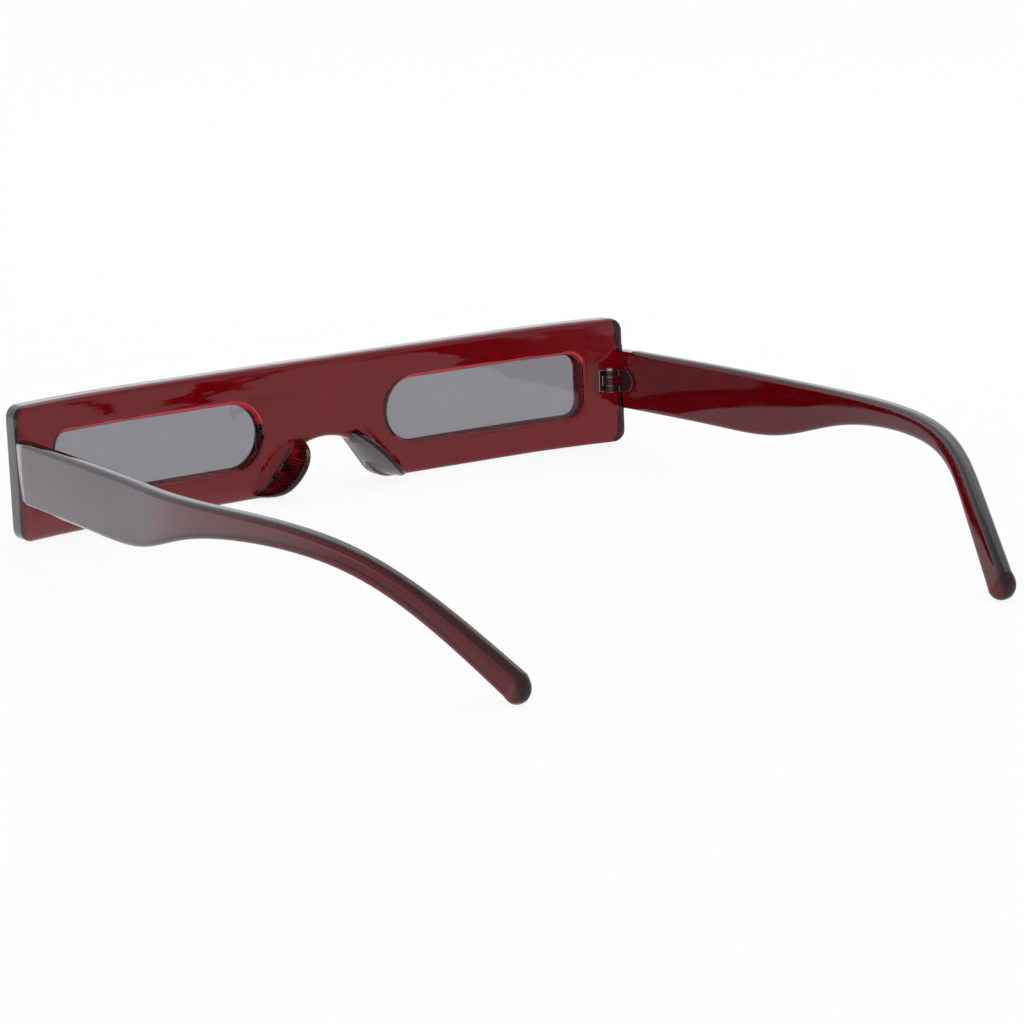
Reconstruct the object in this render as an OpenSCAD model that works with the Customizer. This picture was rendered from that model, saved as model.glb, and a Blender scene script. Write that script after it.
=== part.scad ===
// Flat top sunglasses, standing open on a table on the front's lower edge and the two temple tips.
// All lengths are in millimetres. X runs to the wearer's left, Y backwards, Z up.

/* [Front] */
// Width of the front over its two ends
front_w = 147; // [138:0.5:156]
// Height of the front
front_h = 27; // [25.5:0.25:30]
// Thickness of the front
front_t = 5; // [4:0.1:5.5]
// Rounding along the long edges and the ends
front_edge_r = 1.2; // [0.8:0.1:1.5]
// Rounding of the four corners, seen from in front
front_corner_r = 2.6; // [2:0.1:4]
// Half of the width that is nearly flat
flat_half_w = 45; // [40:0.5:48]
// Radius of the slight bow across the middle
bow_r = 1840; // [1200:10:2600]
// Radius on which each end wraps back
wrap_r = 123; // [100:1:160]

/* [Lens openings] */
// From the end of the front in to the temple end of an opening
opening_inset = 10; // [9.6:0.1:12]
// Width of an opening
opening_w = 47.8; // [44:0.1:48.4]
// Height of an opening
opening_h = 13.1; // [11:0.1:13.5]
// From the top edge of the front to the top of an opening
opening_top = 7; // [6.5:0.1:8]
// Corner radius at the temple end of an opening
opening_corner_r = 3; // [2:0.1:4.5]
// Rounded lip on the face towards the wearer
back_lip_r = 0.6; // [0.4:0.05:0.9]
// How much wider, all round, the opening is at that lip than at the lens
wall_lean = 0.5; // [0.2:0.05:0.8]
// Thickness of the plastic's thin edge in front of a lens; the front face rounds off from there
front_lip_t = 0.4; // [0.3:0.05:0.8]

/* [Lenses] */
// Thickness of a lens
lens_t = 1.4; // [1:0.1:1.6]
// Radius on which a lens curves
lens_curve_r = 374; // [250:1:600]
// How deep the lens lies behind the wearer's face of the front
lens_set = 1.5; // [1.3:0.05:1.6]
// How far the rim of a lens reaches into its groove
lens_rim = 0.8; // [0.5:0.05:1]
// Clearance all round the lens in its groove
lens_gap = 0.05; // [0.03:0.01:0.1]

/* [Nose] */
// From the top edge of the front down to the crown of the nose arch
arch_top = 16.35; // [15.5:0.05:17.5]
// Radius of the crown of the arch
arch_crown_r = 14; // [10:0.5:18]
// Where the crown turns into the shoulder, as an angle from upright
arch_turn = 22; // [18:1:26]
// Radius of the shoulder
arch_shoulder_r = 3; // [2:0.1:4]
// Slope of the notch's sides below level
arch_slope = 55; // [50:1:60]
// Rounding between the notch and the lower edge
notch_foot_r = 6; // [4:0.1:7]
// How far the nose pads stand out behind the front
pad_reach = 6.5; // [5:0.1:8]
// Thickness of a nose pad at its free rim
pad_t = 1.25; // [1:0.05:1.6]

/* [Temples] */
// Length of a temple's spine along Y, from the front to the centre of the tip
temple_len = 138.7; // [128:0.5:150]
// Thickness of a temple
temple_t = 3.4; // [3.2:0.1:4]
// Rounding of a temple's long edges
temple_edge_r = 1.1; // [0.7:0.1:1.4]
// How much that rounding grows from the ear to the tip
ear_rounding = 0.5; // [0:0.1:0.5]
// How much thinner each face of a temple makes its root at the top and bottom edges
temple_camber = 0.2; // [0:0.05:0.3]
// Height of a temple at the hinge
temple_root_h = 12.8; // [11.5:0.1:14]
// Height of a temple at its deepest, ahead of the waist
temple_belly_h = 13.3; // [12:0.1:15]
// Height of a temple at its waist
temple_waist_h = 4.5; // [4:0.1:6]
// Height of the rounded tip
temple_tip_h = 6.6; // [5.5:0.1:8]
// From the butt back to where the root's height ends, to the belly and to the waist
root_stretch = 33; // [30:0.5:36]
belly_back = 51; // [48:0.5:56]
waist_back = 70; // [66:0.5:78]
// Length of the stretch that bends down behind the ear
ear_len = 32; // [28:0.5:36]
// How far the spine sags at the belly, and rises from there over the ear
belly_sag = 1.5; // [0.5:0.1:2.5]
ear_rise = 3.5; // [2:0.1:5]
// How far the spine of the tip drops below that of the root
temple_drop = 20.9; // [16:0.1:25]
// How far the outer face bulges past the root, halfway
temple_bulge = 4.4; // [2:0.1:6]
// How far the outer face of the tip lies inside that of the root
temple_tip_inset = 17.3; // [12:0.1:22]
// From the top edge of the front down to the middle of a temple's root
temple_root_z = 12.8; // [12:0.1:14]
// How far a temple's outer face stands past the end of the front
temple_proud = 0.4; // [0:0.1:0.8]
// Gap between the front and the top of a temple's butt
butt_gap = 0.12; // [0.08:0.01:0.3]
// How much wider that gap is at the bottom
butt_wedge = 1.35; // [0:0.05:1.6]
// Bevel on the inner edge of a temple's butt: its length, and its depth
butt_bevel_len = 2.4; // [1.5:0.1:3.5]
butt_bevel_in = 0.9; // [0.5:0.05:1.2]
// Length of the low step on top of a temple, at the butt
step_len = 5.4; // [3:0.1:7]
// Depth of that step
step_depth = 0.35; // [0.2:0.05:0.6]

/* [Hinges] */
// Height of a hinge, over all three knuckles
hinge_h = 4.6; // [4.4:0.1:5.4]
// How far the middle of a hinge lies below the middle of the temple's root
hinge_drop = 0.2; // [0:0.05:0.5]
// Radius of the knuckles
knuckle_r = 1.1; // [1:0.05:1.3]
// Height of the front leaf's one knuckle
front_knuckle_h = 2; // [1.6:0.1:2.4]
// Clearance between knuckles
knuckle_gap = 0.06; // [0.04:0.01:0.15]
// From the end of the front in to the hinge axis
axis_inset = 4.9; // [4.6:0.1:5.4]
// From the butt plane back to the hinge axis
axis_back = 1.35; // [1.3:0.05:1.5]
// Length of the temple leaf behind the axis
leaf_len = 5.4; // [5:0.1:8]
// Thickness of the temple leaf's plate
leaf_t = 1.05; // [0.8:0.05:1.2]
// Clearance between a leaf and the plastic that it is sunk into
seat_gap = 0.04; // [0.03:0.01:0.1]
// Radius of the screw's shank
screw_r = 0.6; // [0.5:0.05:0.65]
// Radial clearance of the screw in the front leaf's knuckle
screw_play = 0.05; // [0.02:0.01:0.1]
// Radius of the screw's head
screw_head_r = 1; // [0.9:0.05:1.1]
// Height of the screw's head
screw_head_h = 0.5; // [0.4:0.05:0.7]

/* [Hidden] */

plastic = [0.42, 0.08, 0.10];
tint = [0.42, 0.42, 0.45, 0.8];
metal = [0.45, 0.38, 0.37];

half_w = front_w / 2;
// Angle that the slight bow covers on each side, and the centre of the tighter arc that follows it
bow_angle = asin(flat_half_w / bow_r);
wrap_x = flat_half_w - wrap_r * sin(bow_angle);
wrap_y = bow_r - bow_r * cos(bow_angle) + wrap_r * cos(bow_angle);

// Depth of the front's back face at a place along its width
function back_y(x) =
    abs(x) < flat_half_w ? bow_r - sqrt(bow_r * bow_r - x * x)
    : wrap_y - sqrt(wrap_r * wrap_r - pow(abs(x) - wrap_x, 2));

// The raised boss behind each end, which the temple's butt meets
butt_y = back_y(half_w - front_edge_r) + 0.15;
boss_margin = 0.6;
boss_reach = 8.7;
boss_scoop_r = 7.5;
boss_edge_r = 0.8;
boss_ramp = 1.8;
axis_x = half_w - axis_inset;
axis_y = butt_y + axis_back;
axis_z = -temple_root_z - hinge_drop;
root_z = -temple_root_z;

opening_mid_z = -opening_top - opening_h / 2;
opening_end_x = half_w - opening_inset;
opening_nose_x = opening_end_x - opening_w;
nose_r = opening_h / 2;
front_lip_r = front_t - lens_set - lens_t - lens_gap - front_lip_t;

// The lens is a shell about an upright axis, set so that it lies equally deep at both ends of the opening
lens_a = [opening_nose_x, back_y(opening_nose_x) - lens_set];
lens_b = [opening_end_x, back_y(opening_end_x) - lens_set];
lens_half_chord = norm(lens_b - lens_a) / 2;
lens_along = (lens_b - lens_a) / (2 * lens_half_chord);
lens_centre = (lens_a + lens_b) / 2
    + [-lens_along[1], lens_along[0]] * sqrt(pow(lens_curve_r, 2) - pow(lens_half_chord, 2));
lens_span = 10;

// Control points of a temple's spine, from the butt to the tip: depth, height, outer face, half-height
root_x = half_w + temple_proud;
root_y = butt_y + butt_gap;
tip_y = root_y + temple_len;
ear_z = root_z - belly_sag + ear_rise;
temple_spine = [
    [root_y, root_z, root_x, temple_root_h / 2],
    [root_y + root_stretch, root_z - belly_sag * 0.4, root_x + temple_bulge * 0.45, temple_root_h / 2],
    [root_y + belly_back, root_z - belly_sag, root_x + temple_bulge * 0.65, temple_belly_h / 2],
    [root_y + waist_back, ear_z - ear_rise * 0.06, root_x + temple_bulge, temple_waist_h * 0.59],
    [tip_y - ear_len, ear_z, root_x - temple_tip_inset * 0.06, temple_waist_h / 2],
    [tip_y - ear_len / 2, root_z - temple_drop * 0.36, root_x - temple_tip_inset * 0.57,
        temple_waist_h * 0.58],
    [tip_y, root_z - temple_drop, root_x - temple_tip_inset, temple_tip_h / 2]
];
spine_steps = 12;
tip_steps = 10;
edge_steps = 7;
face_steps = 4;
root_splay = atan((temple_spine[1][2] - temple_spine[0][2]) / (temple_spine[1][0] - temple_spine[0][0]));

// The whole pair leans forward a little, until the front's lower edge and the tips share one plane
tip_end = temple_spine[len(temple_spine) - 1];
front_foot = [front_edge_r - front_t, front_edge_r - front_h];
foot_to_tip = [tip_end[0], tip_end[1]] - front_foot;
tilt = asin((tip_end[3] - front_edge_r) / norm(foot_to_tip)) - atan2(foot_to_tip[1], foot_to_tip[0]);
ground_z = front_foot[0] * sin(tilt) + front_foot[1] * cos(tilt) - front_edge_r;
front_most_y = (front_edge_r - front_t) * cos(tilt) + front_edge_r * sin(tilt) - front_edge_r;
rear_most_y = tip_end[0] * cos(tilt) - tip_end[1] * sin(tilt) + tip_end[3];

// Turns and lifts the pair from its own frame, where Z is 0 at the front's top edge, onto the table
module stand() {
    translate([0, -(front_most_y + rear_most_y) / 2, -ground_z]) rotate([tilt, 0, 0]) children();
}

// Draws its children for the wearer's left, or mirrored for the right
module hand(side) mirror([side == "right" ? 1 : 0, 0, 0]) children();

module both_hands() {
    hand("left") children();
    hand("right") children();
}

// Extrudes an outline drawn in X and Z straight through the front, and one drawn in X and Y over its height
module through_front() {
    translate([0, 4 * front_t, 0]) rotate([90, 0, 0]) linear_extrude(8 * front_t) children();
}
module over_height() {
    translate([0, 0, -1.5 * front_h]) linear_extrude(2 * front_h) children();
}

// Uniform cubic spline that starts and ends on its first and last control points
function spline_ends(c) = concat([2 * c[0] - c[1]], c, [2 * c[len(c) - 1] - c[len(c) - 2]]);
function spline_mix(p, i, f) =
    (pow(1 - f, 3) * p[i] + (3 * pow(f, 3) - 6 * f * f + 4) * p[i + 1]
    + (3 * f * f + 3 * f - 3 * pow(f, 3) + 1) * p[i + 2] + pow(f, 3) * p[i + 3]) / 6;
function spline(c, u) = let (i = min(floor(u), len(c) - 2)) spline_mix(spline_ends(c), i, u - i);

// Mean of a list of points
function middle(points) = [for (k = [0 : 2]) [for (p = points) p[k]] * [for (p = points) 1] / len(points)];

// Closed skin over rings with the same number of points, each end closed by a fan about its middle
module skin(rings) {
    n = len(rings[0]);
    last = (len(rings) - 1) * n;
    first_mid = last + n;
    sides = [for (i = [0 : len(rings) - 2], j = [0 : n - 1]) let (a = i * n + j, b = i * n + (j + 1) % n)
        each [[a, b, b + n], [a, b + n, a + n]]];
    fans = [for (j = [0 : n - 1]) let (k = (j + 1) % n)
        each [[k, j, first_mid], [last + j, last + k, first_mid + 1]]];
    polyhedron(concat([for (ring = rings) each ring], [middle(rings[0]), middle(rings[len(rings) - 1])]),
        concat(sides, fans));
}

// Arc of an outline as [x, z, normal]; way is 1 with the centre in the plastic and -1 with it outside
function arc_points(c, r, a0, a1, n, way) =
    [for (i = [0 : n]) let (d = [cos(a0 + (a1 - a0) * i / n), sin(a0 + (a1 - a0) * i / n)])
        [c[0] + r * d[0], c[1] + r * d[1], way * d[0], way * d[1]]];

// Nose notch: the end of its shoulder, and the centre of its foot
crown_c = [0, -arch_top - arch_crown_r];
shoulder_c = crown_c + (arch_crown_r - arch_shoulder_r) * [sin(arch_turn), cos(arch_turn)];
shoulder_end = shoulder_c + arch_shoulder_r * [sin(arch_slope), cos(arch_slope)];
foot_z = notch_foot_r - front_h;
foot_x = shoulder_end[0]
    + (notch_foot_r - (foot_z - shoulder_end[1]) * cos(arch_slope)) / sin(arch_slope);
corner_x = half_w - front_corner_r;
flat_steps = 9;

// Half of the front's lower outline: crown of the nose arch, shoulder, foot of the notch and corner
lower_half = concat(
    arc_points(crown_c, arch_crown_r, 90, 90 - arch_turn, 3, -1),
    arc_points(shoulder_c, arch_shoulder_r, 84 - arch_turn, 90 - arch_slope, 4, -1),
    arc_points([foot_x, foot_z], notch_foot_r, 270 - arch_slope, 270, 6, 1),
    [for (i = [1 : flat_steps - 1]) [foot_x + (corner_x - foot_x) * i / flat_steps, -front_h, 0, -1]],
    arc_points([corner_x, front_corner_r - front_h], front_corner_r, -90, 0, 7, 1));
lower_n = len(lower_half);
lower = concat([for (i = [lower_n - 1 : -1 : 1]) let (p = lower_half[i]) [-p[0], p[1], -p[2], p[3]]],
    lower_half);
outline_n = 2 * len(lower);

// The front's whole outline, drawn in by a margin, at one depth behind the bowed back face
function bar_ring(inset, depth) =
    let (low = [for (p = lower) [p[0] - p[2] * inset, p[1] - p[3] * inset]],
        high = [for (i = [len(lower) - 1 : -1 : 0]) let (q = low[i])
            [q[0], abs(lower[i][0]) > corner_x + 0.01 ? -front_h - q[1] : -inset]])
    [for (q = concat(low, high)) [q[0], back_y(q[0]) + depth, q[1]]];

// The bowed bar of the front, its outline drawn in at both faces to round every edge
module bowed_bar() {
    r = front_edge_r;
    n = outline_n;
    rings = concat([for (a = [0 : 22.5 : 90]) bar_ring(r * (1 - sin(a)), r * (1 - cos(a)) - front_t)],
        [for (a = [90 : -22.5 : 0]) bar_ring(r * (1 - sin(a)), r * (cos(a) - 1))]);
    last = (len(rings) - 1) * n;
    sides = [for (i = [0 : len(rings) - 2], j = [0 : n - 1]) let (a = i * n + j, b = i * n + (j + 1) % n)
        each [[a, b, b + n], [a, b + n, a + n]]];
    caps = [for (i = [0 : n / 2 - 2]) let (t = n - 1 - i)
        each [[i, t, t - 1, i + 1], [last + i, last + i + 1, last + t - 1, last + t]]];
    polyhedron([for (ring = rings) each ring], concat(sides, caps));
}

// Opening outline: a half round at the nose, two rounded corners at the temple; grown by a margin
module opening_outline(margin) {
    c = opening_corner_r;
    top = opening_mid_z + nose_r;
    translate([opening_nose_x + nose_r, opening_mid_z]) circle(r = nose_r + margin, $fn = 128);
    translate([opening_nose_x + nose_r, opening_mid_z - nose_r - margin])
        square([opening_w - nose_r - c, opening_h + 2 * margin]);
    translate([opening_end_x - 1.3 * c, opening_mid_z - nose_r + c])
        square([1.3 * c + margin, opening_h - 2 * c]);
    for (z = [top - c, top - opening_h + c]) translate([opening_end_x - c, z])
        circle(r = c + margin, $fn = 96);
}

// Arc of an opening's outline about a centre
function opening_arc(x, z, r, from, step, to) =
    [for (a = [from : step : to]) [x + r * cos(a), z + r * sin(a)]];

// The same outline as points; the straight edges carry points too, so that they follow the bow
function opening_points(margin) =
    let (c = opening_corner_r, nose_x = opening_nose_x + nose_r, end_x = opening_end_x - c, n = 4,
        top = opening_mid_z + nose_r, low = opening_mid_z - nose_r,
        along = [for (i = [1 : n - 1]) nose_x + (end_x - nose_x) * i / n])
    concat(
        opening_arc(nose_x, opening_mid_z, nose_r + margin, 90, 7.5, 270),
        [for (x = along) [x, low - margin]],
        opening_arc(end_x, low + c, c + margin, -90, 9, 0),
        opening_arc(end_x, top - c, c + margin, 0, 9, 90),
        [for (i = [n - 2 : -1 : 0]) [along[i], top + margin]]);

// Cutter for an opening: rounded off to the front face, leaning out from the lens to the wearer's face
module opening_cut() {
    b = back_lip_r;
    f = front_lip_r;
    wide = wall_lean + b;
    past = 0.3;
    steps = concat([[f + past, -front_t - past]],
        [for (a = [90 : -18 : 0]) [f * (1 - cos(a)), f * (1 - sin(a)) - front_t]],
        [[0, -lens_set]],
        [for (a = [0 : 18 : 90]) [wall_lean + b * (1 - cos(a)), b * (sin(a) - 1)]], [[wide + past, past]]);
    skin(concat([[for (p = opening_points(f + past)) [p[0], -2 * front_t, p[1]]]],
        [for (s = steps) [for (p = opening_points(s[0])) [p[0], back_y(p[0]) + s[1], p[1]]]],
        [[for (p = opening_points(wide + past)) [p[0], back_y(opening_end_x + wide) + 1, p[1]]]]));
}

// Upright curved sheet that a lens is cut from, thickened on both sides by a margin
module lens_shell(margin) {
    translate([lens_centre[0], lens_centre[1], -1.5 * front_h])
        rotate([0, 0, atan2(-lens_along[0], lens_along[1]) - lens_span / 2])
        rotate_extrude(angle = lens_span, $fn = 1440)
        translate([lens_curve_r - margin, 0]) square([lens_t + 2 * margin, 1.7 * front_h]);
}

module lens_body(margin) intersection() {
    lens_shell(margin);
    through_front() opening_outline(lens_rim + margin);
}

// Free rim of a nose pad: place across, height, and depth behind the front
pad_rim = [
    [shoulder_end[0] - 1.1, -arch_top + 0.7, -1.6],
    [shoulder_end[0] - 0.1, -arch_top - 1, pad_reach * 0.7],
    [shoulder_end[0] + 2.7, -arch_top - 4.6, pad_reach * 1.16],
    [shoulder_end[0] + 6.4, -arch_top - 8.6, pad_reach * 1.08],
    [foot_x - 0.4, -front_h + 0.5, pad_reach * 0.66],
    [foot_x + 1.8, -front_h + 0.2, -1.2]
];
pad_steps = 7;

// Height of the crease at a pad's root, and width of the ramp beyond it, as shares of the pad's reach
pad_crease = 0.1;
pad_ramp = 0.3;

// Cross-section of a nose pad as [across, depth]: nose side, rounded rim, hollow lens side, crease, ramp
function pad_profile(depth, reach, flare) =
    let (lift = min(0.45, pad_t * 0.36), ramp_w = 0.3 + pad_ramp * max(reach, 0))
    concat(
        [[-flare * depth, -depth], [-flare * depth * 0.4, -depth * 0.4]],
        [for (a = [180 : -30 : 0]) [pad_t / 2 * (1 + cos(a)), lift * sin(a)]],
        [[pad_t * 1.08, -depth * 0.16], [pad_t * 1.22, -depth * 0.34], [pad_t * 1.5, -depth * 0.52],
        [pad_t * 1.9, -depth * 0.65], [pad_t * 2.4, -reach * (1 - pad_crease)],
        [pad_t * 2.4 + ramp_w, -reach - 0.12], [pad_t * 2.4 + ramp_w * 0.9, -depth]]);
function pad_ring(u) =
    let (e = spline(pad_rim, u), away = [0.9, 0.43])
    [for (p = pad_profile(e[2] + 2.4, e[2], 0.06 + 0.045 * u))
        [e[0] + p[0] * (p[0] > 0 ? away[0] : 1), e[2] + p[1], e[1] + max(p[0], 0) * away[1]]];

module nose_pad() skin([for (i = [pad_steps * (len(pad_rim) - 1) : -1 : 0]) pad_ring(i / pad_steps)]);

// Raised boss behind one end, scooped above and below the hinge, with a ramp on its inner side
module boss() intersection() {
    through_front() difference() {
        half = temple_root_h / 2 + boss_margin;
        translate([half_w - boss_reach, root_z - half]) square([boss_reach, 2 * half]);
        for (s = [-1, 1]) translate([half_w - boss_reach, root_z + s * (half + boss_scoop_r * 0.52)])
            circle(r = boss_scoop_r, $fn = 96);
    }
    over_height() {
        in_x = half_w - boss_reach;
        polygon([[in_x, back_y(in_x) - front_t / 2], [half_w, back_y(half_w) - front_t / 2],
            [half_w, butt_y - boss_edge_r], [half_w - boss_edge_r, butt_y],
            [in_x + boss_ramp, butt_y], [in_x, back_y(in_x) + 0.1]]);
        translate([half_w - boss_edge_r, butt_y - boss_edge_r]) circle(r = boss_edge_r, $fn = 64);
    }
}

module front_frame() color(plastic) difference() {
    union() {
        bowed_bar();
        both_hands() {
            boss();
            nose_pad();
        }
    }
    both_hands() {
        opening_cut();
        lens_body(lens_gap);
        translate([axis_x, axis_y, axis_z]) front_leaf_root(seat_gap);
    }
}

module lens() color(tint) lens_body(0);

// Sizes of the front leaf's buried root, measured from the hinge axis
root_plate_w = 3.1;
root_plate_t = 0.9;
tongue_w = 1.4;
tongue_h = 3;
tongue_len = 2.2;

module front_leaf_root(margin) {
    plate_front = -axis_back + 0.1 - root_plate_t;
    translate([-root_plate_w + knuckle_r - margin, plate_front - margin, -hinge_h / 2 - margin])
        cube([root_plate_w + 2 * margin, root_plate_t + margin + (margin > 0 ? 1 : 0), hinge_h + 2 * margin]);
    translate([knuckle_r - (root_plate_w + tongue_w) / 2 - margin, plate_front - tongue_len - margin,
        -tongue_h / 2 - margin])
        cube([tongue_w + 2 * margin, tongue_len + root_plate_t + margin, tongue_h + 2 * margin]);
}

module front_hinge_leaf() color(metal) translate([axis_x, axis_y, axis_z]) difference() {
    union() {
        front_leaf_root(0);
        translate([0, 0, -front_knuckle_h / 2]) {
            cylinder(r = knuckle_r, h = front_knuckle_h, $fn = 64);
            translate([-knuckle_r, -axis_back, 0]) cube([2 * knuckle_r, axis_back, front_knuckle_h]);
        }
    }
    translate([0, 0, -hinge_h]) cylinder(r = screw_r + screw_play, h = 2 * hinge_h, $fn = 64);
}

// Sizes of the temple leaf, measured from the hinge axis across to the plate
plate_x = root_x - temple_t - axis_x - 0.35;
slot_h = front_knuckle_h + 2 * knuckle_gap;
slot_len = knuckle_r + 0.9;
stud_r = 0.6;
stud_len = 0.9;
thread_gap = 0.02;
screw_tip_in = 0.15;
screw_slot_w = 0.3;

// Plate outline seen from the side: straight, with a round rear end
module leaf_plate(margin) {
    r = hinge_h / 2;
    translate([plate_x, 0, 0]) rotate([90, 0, 90]) linear_extrude(leaf_t + margin) {
        translate([-knuckle_r - margin, -r - margin])
            square([leaf_len - r + knuckle_r + margin, hinge_h + 2 * margin]);
        translate([leaf_len - r, 0]) circle(r = r + margin, $fn = 96);
    }
    for (y = [0.45, 0.78]) translate([plate_x + leaf_t - 0.1, leaf_len * y, 0]) rotate([0, 90, 0])
        cylinder(r = stud_r + margin, h = stud_len + 0.1 + margin, $fn = 48);
}

module at_hinge() translate([axis_x, axis_y, axis_z]) rotate([0, 0, -root_splay]) children();

module temple_hinge_leaf() color(metal) at_hinge() difference() {
    union() {
        leaf_plate(0);
        translate([0, 0, -hinge_h / 2]) cylinder(r = knuckle_r, h = hinge_h, $fn = 64);
        translate([0, -knuckle_r, -hinge_h / 2]) cube([plate_x + 0.1, 2 * knuckle_r, hinge_h]);
    }
    translate([-knuckle_r - 1, -knuckle_r - 1, -slot_h / 2])
        cube([plate_x + leaf_t + knuckle_r + 2, slot_len + knuckle_r + 1, slot_h]);
    translate([0, 0, -hinge_h]) cylinder(r = screw_r + thread_gap, h = 2 * hinge_h, $fn = 64);
}

// Rounding of a temple's edges at a depth along it
function edge_rounding(y) =
    let (along = min(1, max(0, (y - root_y - waist_back) / (tip_y - root_y - waist_back))))
    temple_edge_r + ear_rounding * along * along * (3 - 2 * along);

// How far a crowned face of a temple falls back at a height above or below the spine
function camber(rise) = temple_camber * pow(2 * rise / temple_root_h, 2);

// Section of a temple about its spine point, corner by corner, with the stretch of face that leads to it;
// shrink narrows it in thickness
function temple_ring(s, dir, half, shrink) =
    let (r = min(edge_rounding(s[0]), half * 0.98, temple_t / 2 - shrink - camber(half) - 0.02),
        up = [-dir[1], dir[0]])
    [for (k = [0 : 3], i = [k % 2 == 0 ? 1 - face_steps : 0 : edge_steps])
        let (a = 90 * k + 90 * max(0, i) / edge_steps, top = k < 2 ? 1 : -1, outer = k == 0 || k == 3,
            rise = i < 0 ? top * (half - r) * (1 + 2 * i / face_steps) : top * (half - r) + r * sin(a),
            in = shrink + r - r * abs(cos(a)) + camber(rise))
            [s[2] - (outer ? in : temple_t - in), s[0] + up[0] * rise, s[1] + up[1] * rise]];

// Direction of the spine, from two points just before and after a place
function spine_dir(u) =
    let (c = temple_spine, d = spline(c, min(u + 0.01, len(c) - 1)) - spline(c, max(u - 0.01, 0)))
    [d[0], d[1]] / norm([d[0], d[1]]);

// The sheared butt, the stretch along the spine, and the rounded tip
module temple_loft() {
    last = len(temple_spine) - 1;
    end = temple_spine[last];
    end_dir = spine_dir(last);
    butt = [for (p = temple_ring(temple_spine[0], [1, 0], temple_spine[0][3], 0))
        [p[0], p[1] + butt_wedge * (0.5 - (p[2] - root_z) / temple_root_h), p[2]]];
    along = [for (i = [1 : spine_steps * last]) let (u = i / spine_steps, s = spline(temple_spine, u))
        temple_ring(s, spine_dir(u), s[3], 0)];
    tip = [for (i = [1 : tip_steps]) let (a = 88 * i / tip_steps, d = end[3] * sin(a), left = end[3] - d,
        r = edge_rounding(tip_y), shrink = left < r ? r - sqrt(r * r - pow(r - left, 2)) : 0)
        temple_ring([end[0] + end_dir[0] * d, end[1] + end_dir[1] * d, end[2]], end_dir, end[3] * cos(a),
            shrink * 0.9)];
    skin(concat([butt], along, tip));
}

module temple() color(plastic) difference() {
    temple_loft();
    at_hinge() {
        leaf_plate(seat_gap);
        translate([0, -axis_back - 1, -hinge_h / 2 - seat_gap])
            cube([plate_x + leaf_t + seat_gap, axis_back + 1 + knuckle_r + seat_gap, hinge_h + 2 * seat_gap]);
    }
    translate([root_x - temple_t - 1, root_y - 1, root_z + temple_root_h / 2 - step_depth])
        cube([temple_t + 2, step_len + 1, step_depth + 1]);
    translate([root_x - temple_t, root_y + butt_bevel_len, 0]) rotate([0, 0, -root_splay]) over_height()
        polygon([[-2, 0], [0, 0], [butt_bevel_in, -butt_bevel_len], [butt_bevel_in, -butt_bevel_len - 2],
            [-2, -butt_bevel_len - 2]]);
}

// Slotted screw: its head lies on the upper knuckle, and its end stops just short of the lower one's face
module hinge_screw() color(metal) translate([axis_x, axis_y, axis_z]) difference() {
    union() {
        translate([0, 0, screw_tip_in - hinge_h / 2])
            cylinder(r = screw_r, h = hinge_h - screw_tip_in + screw_head_h / 2, $fn = 64);
        translate([0, 0, hinge_h / 2 + thread_gap]) cylinder(r = screw_head_r, h = screw_head_h, $fn = 64);
    }
    translate([-screw_head_r - 1, -screw_slot_w / 2, hinge_h / 2 + thread_gap + screw_head_h / 2])
        cube([2 * screw_head_r + 2, screw_slot_w, screw_head_h]);
}

stand() front_frame();
stand() hand("left") lens();  // left_lens
stand() hand("right") lens();  // right_lens
stand() hand("left") temple();  // left_temple
stand() hand("right") temple();  // right_temple
stand() hand("left") front_hinge_leaf();  // left_front_hinge_leaf
stand() hand("right") front_hinge_leaf();  // right_front_hinge_leaf
stand() hand("left") temple_hinge_leaf();  // left_temple_hinge_leaf
stand() hand("right") temple_hinge_leaf();  // right_temple_hinge_leaf
stand() hand("left") hinge_screw();  // left_hinge_screw
stand() hand("right") hinge_screw();  // right_hinge_screw
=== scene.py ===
"""Looks for a pair of flat top sunglasses: see-through burgundy plastic, grey lenses, small metal hinges.

Every visible piece is a welded, smoothed copy of its CAD node. All lengths are in metres.
"""

import math

import bpy
from mathutils import Euler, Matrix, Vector


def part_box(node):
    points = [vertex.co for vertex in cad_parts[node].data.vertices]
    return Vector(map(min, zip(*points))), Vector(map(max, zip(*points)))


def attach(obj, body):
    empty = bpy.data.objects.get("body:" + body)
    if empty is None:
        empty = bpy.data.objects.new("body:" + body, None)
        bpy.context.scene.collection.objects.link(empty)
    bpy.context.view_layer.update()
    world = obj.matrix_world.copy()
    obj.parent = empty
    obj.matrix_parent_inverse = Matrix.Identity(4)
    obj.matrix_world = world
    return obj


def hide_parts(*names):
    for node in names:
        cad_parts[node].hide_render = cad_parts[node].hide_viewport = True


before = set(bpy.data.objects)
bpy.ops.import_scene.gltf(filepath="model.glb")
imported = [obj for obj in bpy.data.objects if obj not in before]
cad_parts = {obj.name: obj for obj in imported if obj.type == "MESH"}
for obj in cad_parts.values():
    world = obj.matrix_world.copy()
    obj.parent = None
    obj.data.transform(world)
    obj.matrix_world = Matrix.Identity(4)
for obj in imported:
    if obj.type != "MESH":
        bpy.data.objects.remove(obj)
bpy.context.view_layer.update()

bl_info = {
    "name": "Flat Top Sunglasses",
    "version": (1, 0, 0),
    "blender": (4, 5, 0),
    "location": "View3D > Sidebar > Sunglasses",
    "description": "Dresses a pair of flat top sunglasses and sets a white tabletop studio round them",
    "category": "Object",
}

SIDES = ("left", "right")
STEPS = ("materials", "front", "lenses", "temples", "hinges", "screws", "studio")

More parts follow.
